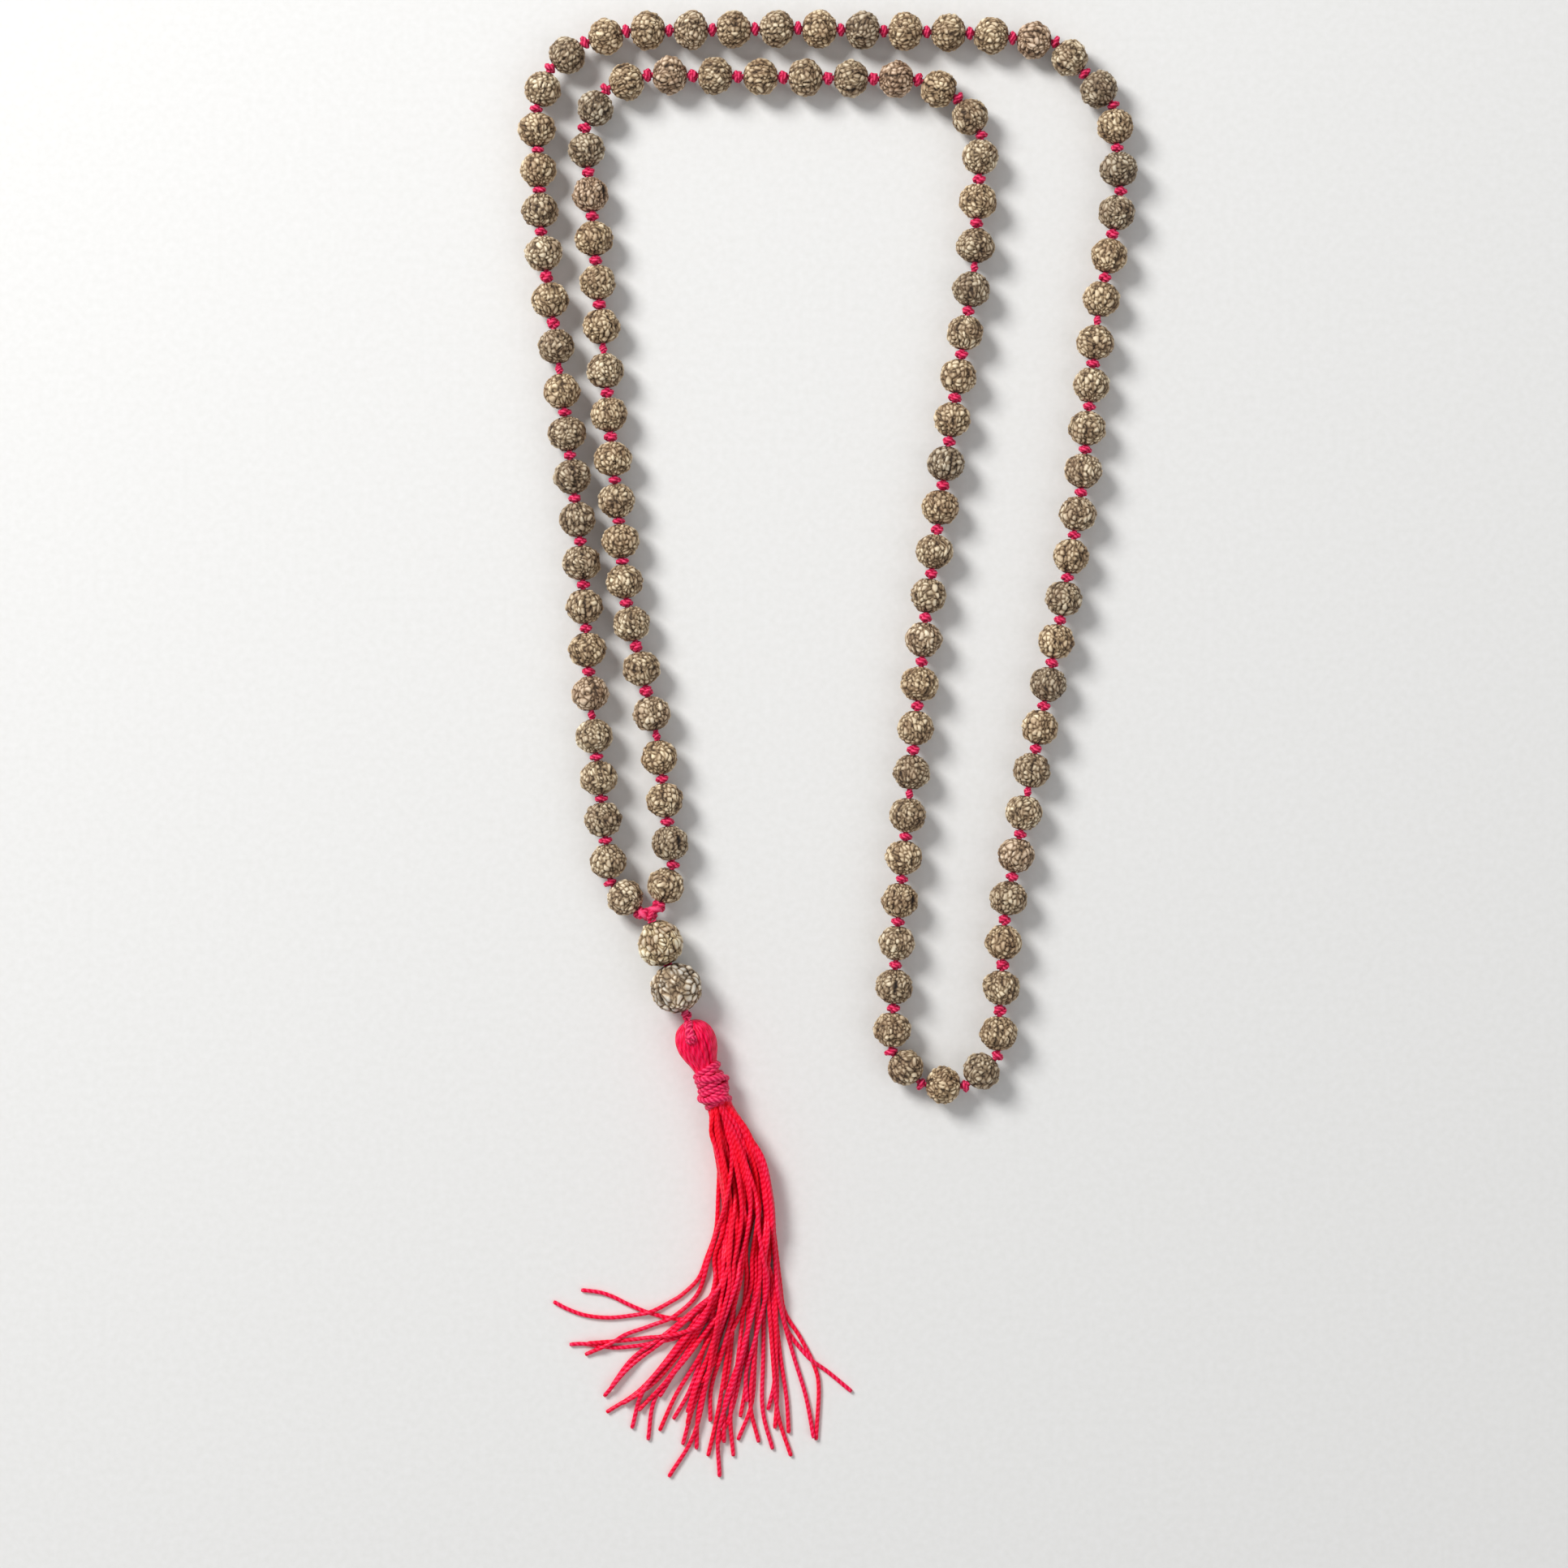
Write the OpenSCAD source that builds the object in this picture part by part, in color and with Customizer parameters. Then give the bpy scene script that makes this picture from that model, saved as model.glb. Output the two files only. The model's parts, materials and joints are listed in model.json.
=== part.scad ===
// Rudraksha mala lying flat: 108 seed beads on a knotted loop of cord, two guru beads and a tassel.
// The loop is laid in two nested strands, outer and inner, with the guru beads and tassel at lower left.

/* [Beads] */
// Diameter of a seed bead around its equator
bead_d = 8.3; // [7.6:0.1:8.4]
// How far a bead's diameter may stray from the nominal one, either way
bead_vary = 0.25; // [0:0.05:0.3]
// Longest that a bead may be along its bore
bead_len = 7.5; // [7:0.1:7.6]
// Least length of cord left for a knot between two beads
knot_gap = 1.3; // [1.2:0.1:1.4]

/* [Cord] */
// Diameter of the stringing cord
cord_d = 1.3; // [1:0.1:1.5]
// Radial clearance of a bead's bore on the cord
bore_clear = 0.05; // [0.02:0.01:0.1]
// Diameter of a knot between two beads
knot_d = 2.5; // [2:0.1:2.6]
// Diameter of a small knot where a strand folds
fold_knot_d = 1.5; // [1.4:0.02:1.52]

/* [Guru beads] */
// Diameter of the upper guru bead
guru_upper_d = 10.4; // [9.5:0.1:10.6]
// Length of the upper guru bead along its bore
guru_upper_len = 9.8; // [9:0.1:9.8]
// Diameter of the lower guru bead
guru_lower_d = 11.2; // [10:0.1:11.2]
// Length of the lower guru bead along its bore
guru_lower_len = 10.6; // [10:0.1:10.6]
// Diameter of the doubled cord through the guru beads
guru_cord_d = 2; // [1.8:0.1:2.2]

/* [Tassel] */
// Widest diameter of the tassel head
head_d = 8.7; // [8:0.1:8.8]
// Diameter of the thread wound round the tassel's neck
wrap_thread_d = 1.3; // [1:0.1:1.4]
// Turns of thread round the tassel's neck
wrap_turns = 7; // [5:1:8]
// Diameter of one thread of the skirt
thread_d = 1; // [0.7:0.1:1]

/* [Hidden] */
$fn = 48;

// Centre of the whole layout, which is moved to the origin
layout_centre = [0, 2.5];
// Spacing from bead to bead that each straight stretch comes closest to
pitch = 9.4;
// Play between a knot and the beads beside it
knot_play = 0.05;
// Play between a fold's knot and the end of the cord that folds on it
free_play = 0.1;
// A stretch of cord stops this far short of the middle of the knot that takes it in
inside_cut = 0.1;
// Widest that the knot at a bend may be, as a share of its room along the cord over the bend's slope
bend_share = 1.2;
// Height of the stringing cord, so that the largest bead touches the surface
cord_z = (bead_d + bead_vary) / 2;

// Routes of the cord, strand by strand: each point is a knot where the strand bends
crown_outer = [
    [-57.5, 82.5], [-61.5, 112.5], [-62.5, 138.5], [-59.5, 147.5], [-52, 153], [-43, 155.5],
    [-6, 156], [31, 155], [49.5, 153], [62, 139.5], [63.5, 121], [58.5, 93]
];
crown_inner = [
    [-48, 87], [-52, 134.5], [-47.5, 143], [-38.5, 146], [20, 145], [28.5, 141], [33.5, 133], [32, 104.5]
];
left_outer_mid = [[-57.5, 82.5], [-53, 45.5], [-50.5, 8]];
left_inner_mid = [[-48, 87], [-45.5, 58.5], [-43, 32.5], [-36.5, 3.5]];
left_outer_low = [[-50.5, 8], [-46.5, -28], [-40, -34.7]];
left_inner_low = [[-36.5, 3.5], [-33, -24.2], [-36, -33.2]];
right_outer_mid = [[58.5, 93], [55, 56], [50.5, 28.5], [43.5, -8.5]];
right_inner_mid = [[32, 104.5], [26.5, 67], [21.5, 29], [18, -9]];
right_turn = [
    [43.5, -8.5], [38.5, -36], [37, -65.5], [30, -72], [20.5, -71.5], [14, -64.5], [15.5, -36.5], [18, -9]
];

function gap(a, b) = norm(b - a);
function count(a, b) = round(gap(a, b) / pitch);
function heading(a, b) = atan2(b[1] - a[1], b[0] - a[0]);

// Beads on a stretch from a to b are evenly spaced, and no longer than their knots allow
function spacing(a, b) = gap(a, b) / count(a, b);
function length_of(a, b) = min(bead_len, spacing(a, b) - knot_gap);
function half_knot(a, b) = (spacing(a, b) - length_of(a, b)) / 2 - knot_play;

// The guru beads and the tassel hang in line from the throat of the junction knot
throat = [-38, -34.8];
throat_z = 4.9;
throat_d = 2.9;
hang_angle = -70;
throat_play = 0.15;
guru_z = guru_lower_d / 2;
guru_play = 0.1;
guru_upper_from = throat_d / 2 + 2 * throat_play;
guru_lower_from = guru_upper_from + guru_upper_len + guru_play;
guru_end = guru_lower_from + guru_lower_len;
stop_knot_d = 1.9;
pivot_from = guru_end + stop_knot_d / 2 + knot_play;
pivot = throat + pivot_from * [cos(hang_angle), sin(hang_angle)];

// Distances along the tassel from its pivot
tassel_z = head_d / 2 + 0.05;
head_at = 6;
neck_from = 7.3;
neck_to = 11.3;
neck_d = 5.6;
head_cone_d = 8;
wrap_from = 11.4;
wrap_pitch = wrap_thread_d + 0.06;
wrap_ring_d = neck_d - 0.3;
core_d = wrap_ring_d - wrap_thread_d - 0.04;
core_to = 20.7;
loop_cord_d = 1.2;
loop_from = [1.2, guru_z];
loop_to = [5.1, 9];
loop_knot_d = 2;

// Cross-sections of the skirt: middle, half width, thickness and height of the middle
skirt = [
    [-22.2, -78.3, 2.5, 3.9, 4.4], [-20.1, -84, 4.6, 4.8, 3.8], [-17.9, -93, 5.6, 4.4, 3.1],
    [-17.2, -103, 6.3, 4, 2.5], [-18, -114, 8.5, 3.4, 1.9], [-25, -146, 22, 2.6, 1.4], [-22, -154.5, 13, 2, 1.1]
];

// Routes of the threads that stray beyond the skirt, each from the skirt to its free end
left_strays = [
    [[-31, -117.4, 0.7], [-33.5, -119, 0.5], [-37.5, -121, 0.5], [-42, -122, 0.5], [-47, -122.5, 0.5],
        [-52, -122, 0.5], [-56, -120.6, 0.5], [-59, -119, 0.5]],
    [[-33.5, -122.6, 1.6], [-37, -121.8, 1.7], [-39.5, -121, 1.7], [-43, -119.5, 1.2], [-46, -118, 0.6],
        [-49, -117, 0.5], [-53, -116.5, 0.5]],
    [[-37.5, -128, 0.8], [-41, -128.6, 0.5], [-46, -129, 0.5], [-52, -128.2, 0.5], [-55.5, -128.3, 0.5]]
];
right_strays = [[[-5.5, -130.5, 0.8], [-3, -132, 0.5], [1, -134.8, 0.5], [5.5, -138, 0.5]]];
stray_sides = 8;

// A place in the layout, at height z
module at(p, z) {
    translate([p[0] - layout_centre[0], p[1] - layout_centre[1], z]) children();
}

// Turns a shape made along Z to lie along a heading
module along(angle) {
    rotate([0, 90, angle]) children();
}

// Seed bead along Z: a ball with flattened poles, bored for the cord
module bored_ball(d, len, bore) {
    difference() {
        intersection() {
            sphere(d = d);
            cylinder(h = len, d = d + 1, center = true);
        }
        cylinder(h = len + 1, d = bore, center = true);
    }
}

// The beads on one straight stretch, number i, of a strand
module beads(route, i) {
    a = route[i - 1];
    b = route[i];
    n = count(a, b);
    sizes = rands(-bead_vary, bead_vary, n, round(norm(a) * 10));
    color("peru")
    for (k = [0 : n - 1])
        at(a + (b - a) * (k + 0.5) / n, cord_z)
        along(heading(a, b))
        bored_ball(bead_d + sizes[k], length_of(a, b), cord_d + 2 * bore_clear);
}

// Half the angle that a strand turns through at point i of its route
function half_turn(route, i) =
    ((heading(route[i], route[i + 1]) - heading(route[i - 1], route[i]) + 540) % 360 - 180) / 2;

// One stretch of bare cord from a to b, cut back at either end
module cord_stretch(a, b, cut_a, cut_b) {
    at(a, cord_z)
    along(heading(a, b))
    translate([0, 0, cut_a])
    cylinder(h = gap(a, b) - cut_a - cut_b, d = cord_d);
}

// The knot at point i, where a strand bends: square to the bend, and clear of the beads on both sides
module bend_knot(route, i) {
    half = min(half_knot(route[i - 1], route[i]), half_knot(route[i], route[i + 1]));
    tilt = half_turn(route, i);
    width = min(knot_d, bend_share * half / tan(abs(tilt)));
    at(route[i], cord_z)
    along(heading(route[i - 1], route[i]) + tilt)
    cylinder(h = 2 * (half - width / 2 * sin(abs(tilt))) / cos(tilt), d = width, center = true);
}

// The small knot that a fold turns on
module fold_knot(p) {
    at(p, cord_z) sphere(d = fold_knot_d);
}

// A strand of cord with its knots; an end is "fold" if it has the fold's knot, or else "free" or "junction"
module cord(route, first, last) {
    final = len(route) - 1;
    free_cut = fold_knot_d / 2 + free_play;
    color("crimson") {
        for (i = [1 : final]) {
            a = route[i - 1];
            b = route[i];
            n = count(a, b);
            half = half_knot(a, b);
            cut_a = i == 1 && first == "free" ? free_cut : inside_cut;
            cut_b = i < final || last == "fold" ? inside_cut : last == "free" ? free_cut : half;
            cord_stretch(a, b, cut_a, cut_b);
            if (n > 1)
                for (k = [1 : n - 1])
                    at(a + (b - a) * k / n, cord_z)
                    along(heading(a, b))
                    cylinder(h = 2 * half, d = knot_d, center = true);
            if (i < final) bend_knot(route, i);
        }
        if (first == "fold") fold_knot(route[0]);
        if (last == "fold") fold_knot(route[final]);
    }
}

// The lobe of the junction knot that takes in the end of a strand, flat where it meets the cord
module lobe(route) {
    final = len(route) - 1;
    a = route[final - 1];
    b = route[final];
    at(b, cord_z)
    along(heading(a, b))
    intersection() {
        sphere(d = knot_d);
        translate([0, 0, -half_knot(a, b)]) cylinder(h = 2 * knot_d, d = 2 * knot_d);
    }
}

module junction_knot() {
    color("crimson") {
        lobe(left_outer_low);
        lobe(left_inner_low);
        at(throat, throat_z) sphere(d = throat_d);
    }
}

// Places a shape made along Z on the line of the guru beads, at a distance from the throat
module hanging(distance) {
    at(throat, guru_z) along(hang_angle) translate([0, 0, distance]) children();
}

module guru_cord() {
    color("crimson") {
        hanging(throat_d / 2 + throat_play) cylinder(h = guru_end - throat_d / 2, d = guru_cord_d);
        hanging(pivot_from) sphere(d = stop_knot_d);
    }
}

module guru_bead_upper() {
    color("sienna")
    hanging(guru_upper_from + guru_upper_len / 2)
    bored_ball(guru_upper_d, guru_upper_len, guru_cord_d + 2 * bore_clear);
}

module guru_bead_lower() {
    color("sienna")
    hanging(guru_lower_from + guru_lower_len / 2)
    bored_ball(guru_lower_d, guru_lower_len, guru_cord_d + 2 * bore_clear);
}

// Places a shape made along Z on the tassel's axis, at a distance from its pivot
module on_tassel(distance) {
    at(pivot, tassel_z) along(hang_angle) translate([0, 0, distance]) children();
}

// The loop that the tassel hangs from rises over the front of its head to a small knot
module loop_cord(play) {
    run = loop_to - loop_from;
    at(pivot, 0)
    rotate(hang_angle)
    translate([loop_from[0], 0, loop_from[1]])
    rotate([0, 90 - atan2(run[1], run[0]), 0]) {
        cylinder(h = norm(run), d = loop_cord_d + play);
        translate([0, 0, norm(run)]) sphere(d = loop_knot_d + play);
    }
}

module tassel_loop() {
    color("crimson") loop_cord(0);
}

module tassel_head() {
    color("crimson")
    difference() {
        union() {
            on_tassel(head_at) sphere(d = head_d);
            on_tassel(neck_from) cylinder(h = neck_to - neck_from, d1 = head_cone_d, d2 = core_d);
            on_tassel(neck_from) cylinder(h = core_to - neck_from, d = core_d);
        }
        loop_cord(2 * bore_clear);
    }
}

// Turns of thread wound side by side round the neck
module tassel_binding() {
    color("crimson")
    for (i = [0 : wrap_turns - 1])
        on_tassel(wrap_from + (i + 0.5) * wrap_pitch)
        rotate_extrude()
        translate([wrap_ring_d / 2, 0])
        circle(d = wrap_thread_d);
}

// One end of a cross-section of the skirt
module skirt_side(s, side) {
    at([s[0] + side * (s[2] - s[3] / 2), s[1]], s[4]) sphere(d = s[3], $fn = 16);
}

module tassel_skirt() {
    color("red")
    for (i = [1 : len(skirt) - 1])
        hull()
            for (s = [skirt[i - 1], skirt[i]], side = [-1, 1])
                skirt_side(s, side);
}

// A round tube along a list of points, with a ring of corners at each
module tube(route, d) {
    final = len(route) - 1;
    sides = stray_sides;
    corners = [
        for (i = [0 : final])
            let (
                way = route[min(i + 1, final)] - route[max(i - 1, 0)],
                ahead = way / norm(way),
                across = [-ahead[1], ahead[0], 0] / norm([ahead[0], ahead[1]]),
                up = cross(ahead, across)
            )
            for (k = [0 : sides - 1])
                route[i] + (across * cos(360 * k / sides) + up * sin(360 * k / sides)) * d / 2
    ];
    walls = [
        for (i = [0 : final - 1], k = [0 : sides - 1])
            let (next = (k + 1) % sides)
            [i * sides + k, (i + 1) * sides + k, (i + 1) * sides + next, i * sides + next]
    ];
    near_cap = [for (k = [0 : sides - 1]) k];
    far_cap = [for (k = [sides - 1 : -1 : 0]) final * sides + k];
    at([0, 0], 0) polyhedron(corners, concat([near_cap], walls, [far_cap]));
}

module tassel_threads_left() {
    color("crimson")
    for (route = left_strays)
        tube(route, thread_d);
}

module tassel_threads_right() {
    color("crimson")
    for (route = right_strays)
        tube(route, thread_d);
}

module cord_crown_outer() { cord(crown_outer, "fold", "fold"); }
module cord_crown_inner() { cord(crown_inner, "fold", "fold"); }
module cord_left_outer_mid() { cord(left_outer_mid, "free", "fold"); }
module cord_left_inner_mid() { cord(left_inner_mid, "free", "fold"); }
module cord_left_outer_low() { cord(left_outer_low, "free", "junction"); }
module cord_left_inner_low() { cord(left_inner_low, "free", "junction"); }
module cord_right_outer_mid() { cord(right_outer_mid, "free", "fold"); }
module cord_right_inner_mid() { cord(right_inner_mid, "free", "fold"); }
module cord_right_turn() { cord(right_turn, "free", "free"); }

module beads_crown_outer_1() { beads(crown_outer, 1); }
module beads_crown_outer_2() { beads(crown_outer, 2); }
module beads_crown_outer_3() { beads(crown_outer, 3); }
module beads_crown_outer_4() { beads(crown_outer, 4); }
module beads_crown_outer_5() { beads(crown_outer, 5); }
module beads_crown_outer_6() { beads(crown_outer, 6); }
module beads_crown_outer_7() { beads(crown_outer, 7); }
module beads_crown_outer_8() { beads(crown_outer, 8); }
module beads_crown_outer_9() { beads(crown_outer, 9); }
module beads_crown_outer_10() { beads(crown_outer, 10); }
module beads_crown_outer_11() { beads(crown_outer, 11); }
module beads_crown_inner_1() { beads(crown_inner, 1); }
module beads_crown_inner_2() { beads(crown_inner, 2); }
module beads_crown_inner_3() { beads(crown_inner, 3); }
module beads_crown_inner_4() { beads(crown_inner, 4); }
module beads_crown_inner_5() { beads(crown_inner, 5); }
module beads_crown_inner_6() { beads(crown_inner, 6); }
module beads_crown_inner_7() { beads(crown_inner, 7); }
module beads_left_outer_mid_1() { beads(left_outer_mid, 1); }
module beads_left_outer_mid_2() { beads(left_outer_mid, 2); }
module beads_left_inner_mid_1() { beads(left_inner_mid, 1); }
module beads_left_inner_mid_2() { beads(left_inner_mid, 2); }
module beads_left_inner_mid_3() { beads(left_inner_mid, 3); }
module beads_left_outer_low_1() { beads(left_outer_low, 1); }
module beads_left_outer_low_2() { beads(left_outer_low, 2); }
module beads_left_inner_low_1() { beads(left_inner_low, 1); }
module beads_left_inner_low_2() { beads(left_inner_low, 2); }
module beads_right_outer_mid_1() { beads(right_outer_mid, 1); }
module beads_right_outer_mid_2() { beads(right_outer_mid, 2); }
module beads_right_outer_mid_3() { beads(right_outer_mid, 3); }
module beads_right_inner_mid_1() { beads(right_inner_mid, 1); }
module beads_right_inner_mid_2() { beads(right_inner_mid, 2); }
module beads_right_inner_mid_3() { beads(right_inner_mid, 3); }
module beads_right_turn_1() { beads(right_turn, 1); }
module beads_right_turn_2() { beads(right_turn, 2); }
module beads_right_turn_3() { beads(right_turn, 3); }
module beads_right_turn_4() { beads(right_turn, 4); }
module beads_right_turn_5() { beads(right_turn, 5); }
module beads_right_turn_6() { beads(right_turn, 6); }
module beads_right_turn_7() { beads(right_turn, 7); }

cord_crown_outer();
cord_crown_inner();
cord_left_outer_mid();
cord_left_inner_mid();
cord_left_outer_low();
cord_left_inner_low();
cord_right_outer_mid();
cord_right_inner_mid();
cord_right_turn();
junction_knot();
guru_cord();
guru_bead_upper();
guru_bead_lower();
tassel_loop();
tassel_head();
tassel_binding();
tassel_skirt();
tassel_threads_left();
tassel_threads_right();
beads_crown_outer_1();
beads_crown_outer_2();
beads_crown_outer_3();
beads_crown_outer_4();
beads_crown_outer_5();
beads_crown_outer_6();
beads_crown_outer_7();
beads_crown_outer_8();
beads_crown_outer_9();
beads_crown_outer_10();
beads_crown_outer_11();
beads_crown_inner_1();
beads_crown_inner_2();
beads_crown_inner_3();
beads_crown_inner_4();
beads_crown_inner_5();
beads_crown_inner_6();
beads_crown_inner_7();
beads_left_outer_mid_1();
beads_left_outer_mid_2();
beads_left_inner_mid_1();
beads_left_inner_mid_2();
beads_left_inner_mid_3();
beads_left_outer_low_1();
beads_left_outer_low_2();
beads_left_inner_low_1();
beads_left_inner_low_2();
beads_right_outer_mid_1();
beads_right_outer_mid_2();
beads_right_outer_mid_3();
beads_right_inner_mid_1();
beads_right_inner_mid_2();
beads_right_inner_mid_3();
beads_right_turn_1();
beads_right_turn_2();
beads_right_turn_3();
beads_right_turn_4();
beads_right_turn_5();
beads_right_turn_6();
beads_right_turn_7();
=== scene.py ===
# Rudraksha mala laid flat on a pale surface: seed beads, two guru seeds and a crimson thread tassel.
import json
import math
import random

import bmesh
import bpy
import numpy as np
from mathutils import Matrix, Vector, noise


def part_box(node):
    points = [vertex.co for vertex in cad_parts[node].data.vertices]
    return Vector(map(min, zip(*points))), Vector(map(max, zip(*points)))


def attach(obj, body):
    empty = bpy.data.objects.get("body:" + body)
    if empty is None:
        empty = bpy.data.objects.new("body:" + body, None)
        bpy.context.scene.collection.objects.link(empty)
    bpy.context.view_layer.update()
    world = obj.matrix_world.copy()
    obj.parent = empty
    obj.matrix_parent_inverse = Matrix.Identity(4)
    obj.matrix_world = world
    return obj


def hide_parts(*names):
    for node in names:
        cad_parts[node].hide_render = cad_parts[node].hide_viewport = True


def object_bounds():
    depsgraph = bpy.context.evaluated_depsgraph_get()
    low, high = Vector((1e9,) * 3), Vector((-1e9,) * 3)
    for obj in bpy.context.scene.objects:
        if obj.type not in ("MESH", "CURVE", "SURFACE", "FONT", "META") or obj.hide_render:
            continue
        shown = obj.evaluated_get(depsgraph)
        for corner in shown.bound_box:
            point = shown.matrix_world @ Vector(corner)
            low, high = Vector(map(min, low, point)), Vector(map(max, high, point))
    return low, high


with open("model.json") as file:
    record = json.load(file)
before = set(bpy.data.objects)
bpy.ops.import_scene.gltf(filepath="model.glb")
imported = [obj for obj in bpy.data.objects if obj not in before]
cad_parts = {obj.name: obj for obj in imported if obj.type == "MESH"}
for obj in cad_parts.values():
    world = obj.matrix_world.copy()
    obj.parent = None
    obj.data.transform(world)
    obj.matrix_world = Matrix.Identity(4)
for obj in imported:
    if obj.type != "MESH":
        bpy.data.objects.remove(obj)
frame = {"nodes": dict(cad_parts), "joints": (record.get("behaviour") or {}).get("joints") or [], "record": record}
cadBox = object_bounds()

mm = 0.001
joints = {joint["name"]: joint for joint in frame["joints"]}
record = frame["record"]


def midOf(box):
    return np.array([(a + b) / 2 for a, b in zip(*box)])


# The camera looks straight down, with the loop a little right of and above the middle of its view.
cameraSettings = {
    "lens": 75.0,
    "sensor": 36.0,
    "fieldWidth": 338 * mm,  # what the view spans at the height of the beads
    "left": 9.45 * mm,  # how far the middle of the view lies left of the loop's middle, and below it
    "below": 9.15 * mm,
    "nearest": 0.01,
    "farthest": 10,
}


def addCamera(settings):
    data = bpy.data.cameras.new("overheadCamera")
    data.lens = settings["lens"]
    data.sensor_width = settings["sensor"]
    camera = bpy.data.objects.new("overheadCamera", data)
    bpy.context.scene.collection.objects.link(camera)
    middle = midOf(cadBox)
    beadHeight = joints["spin_crown_outer_1"]["pos_m"][2]
    away = settings["fieldWidth"] * settings["lens"] / settings["sensor"]
    camera.location = (middle[0] - settings["left"], middle[1] - settings["below"], beadHeight + away)
    data.clip_start = settings["nearest"]
    data.clip_end = settings["farthest"]
    bpy.context.scene.camera = camera


addCamera(cameraSettings)
print("camera placed")


# Where things hang: from the junction knot's throat, down the guru seeds, to the tassel's pivot.
throat = np.array(joints["guru_swing"]["pos_m"])
pivot = np.array(joints["tassel_swing"]["pos_m"])
tasselHeight = midOf(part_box("tassel_head"))[2]
hang = (pivot - throat) * (1, 1, 0)
hang = hang / np.linalg.norm(hang)
across = np.array([-hang[1], hang[0], 0])
up = np.array([0, 0, 1.0])


def onTassel(along, side=0.0, height=0.0):
    # A place on the tassel in mm: along its axis from the pivot, to the side, and above the axis.
    return pivot * (1, 1, 0) + up * tasselHeight + (hang * along + across * side + up * height) * mm


# Swept threads and cords.
def resampled(points, step, between=16):
    # Points a step apart on a smooth curve through the given ones.
    points = np.asarray(points, float)
    ends = np.vstack([2 * points[0] - points[1], points, 2 * points[-1] - points[-2]])
    fine = []
    for i in range(1, len(ends) - 2):
        p0, p1, p2, p3 = ends[i - 1 : i + 3]
        t = np.linspace(0, 1, between, endpoint=False)[:, None]
        curve = 2 * p1 + (p2 - p0) * t + (2 * p0 - 5 * p1 + 4 * p2 - p3) * t**2
        fine.append((curve + (3 * p1 - p0 - 3 * p2 + p3) * t**3) / 2)
    return evenly(np.vstack(fine + [points[-1:]]), step)


def evenly(points, step):
    # Points a step apart on the straight lines between the given ones.
    run = np.concatenate([[0], np.cumsum(np.linalg.norm(np.diff(points, axis=0), axis=1))])
    count = max(int(round(run[-1] / step)), 3)
    at = np.linspace(0, run[-1], count + 1)
    return np.stack([np.interp(at, run, points[:, k]) for k in range(3)], axis=1)


def twistedTube(path, diameter, sides, plies, lay, depth, phase=0.0, taper=None, closed=False):
    # A cord whose plies wind round it once in each lay. Returns points, four-sided faces and the ply relief.
    path = np.asarray(path, float)
    count = len(path)
    if closed:
        ways = np.roll(path, -1, axis=0) - np.roll(path, 1, axis=0)
    else:
        ways = np.gradient(path, axis=0)
    ways /= np.linalg.norm(ways, axis=1)[:, None]
    side = np.cross(ways[0], (0.13, 0.21, 0.97))  # nearly upright, but along no thread
    if np.linalg.norm(side) < 0.2:
        side = np.cross(ways[0], (0.9, 0.3, 0.1))
    sidesOn = np.empty_like(path)
    for i in range(count):
        side = side - ways[i] * np.dot(side, ways[i])
        side /= np.linalg.norm(side)
        sidesOn[i] = side
    turn = 0.0
    if closed:  # spreads over the whole loop the angle by which its last ring misses its first
        turn = math.atan2(np.dot(np.cross(sidesOn[-1], sidesOn[0]), ways[0]), np.dot(sidesOn[-1], sidesOn[0]))
    other = np.cross(ways, sidesOn)
    steps = np.linalg.norm(np.diff(path, axis=0), axis=1)
    run = np.concatenate([[0], np.cumsum(steps)])
    total = run[-1] + (np.linalg.norm(path[0] - path[-1]) if closed else 0)
    turns = round(total / lay) if closed else total / lay
    angle = 2 * math.pi * np.arange(sides) / sides
    grid = angle[None, :] + turn * (run / total)[:, None]
    twist = 2 * math.pi * turns * (run / total)[:, None]
    relief = 0.5 + 0.5 * np.cos(plies * (angle[None, :] - twist + phase))
    radius = diameter / 2 * (1 - depth * (1 - relief))
    if taper is not None:
        radius = radius * np.asarray(taper)[:, None]
    points = path[:, None, :] + radius[..., None] * (
        np.cos(grid)[..., None] * sidesOn[:, None, :] + np.sin(grid)[..., None] * other[:, None, :]
    )
    rows = np.arange(count if closed else count - 1)[:, None]
    cols = np.arange(sides)[None, :]
    a = rows * sides + cols
    b = rows * sides + (cols + 1) % sides
    c = (rows + 1) % count * sides + (cols + 1) % sides
    d = (rows + 1) % count * sides + cols
    faces = [np.stack([a, b, c, d], axis=-1).reshape(-1, 4)]
    if not closed:
        k = np.arange(sides // 2 - 1)
        cap = np.stack([sides - 1 - k, sides - 2 - k, k + 1, k], axis=1)
        faces += [cap, cap[:, ::-1] + (count - 1) * sides]
    return points.reshape(-1, 3), np.vstack(faces), relief.reshape(-1)


def joined(parts):
    # Several (points, faces, relief, tint) made into one. The tint may be left out.
    offset, points, faces, relief, tint = 0, [], [], [], []
    for part in parts:
        points.append(part[0])
        faces.append(part[1] + offset)
        relief.append(part[2])
        tint.append(np.broadcast_to(part[3] if len(part) > 3 else 0.5, len(part[0])))
        offset += len(part[0])
    return np.vstack(points), np.vstack(faces), np.concatenate(relief), np.concatenate(tint)


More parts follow.
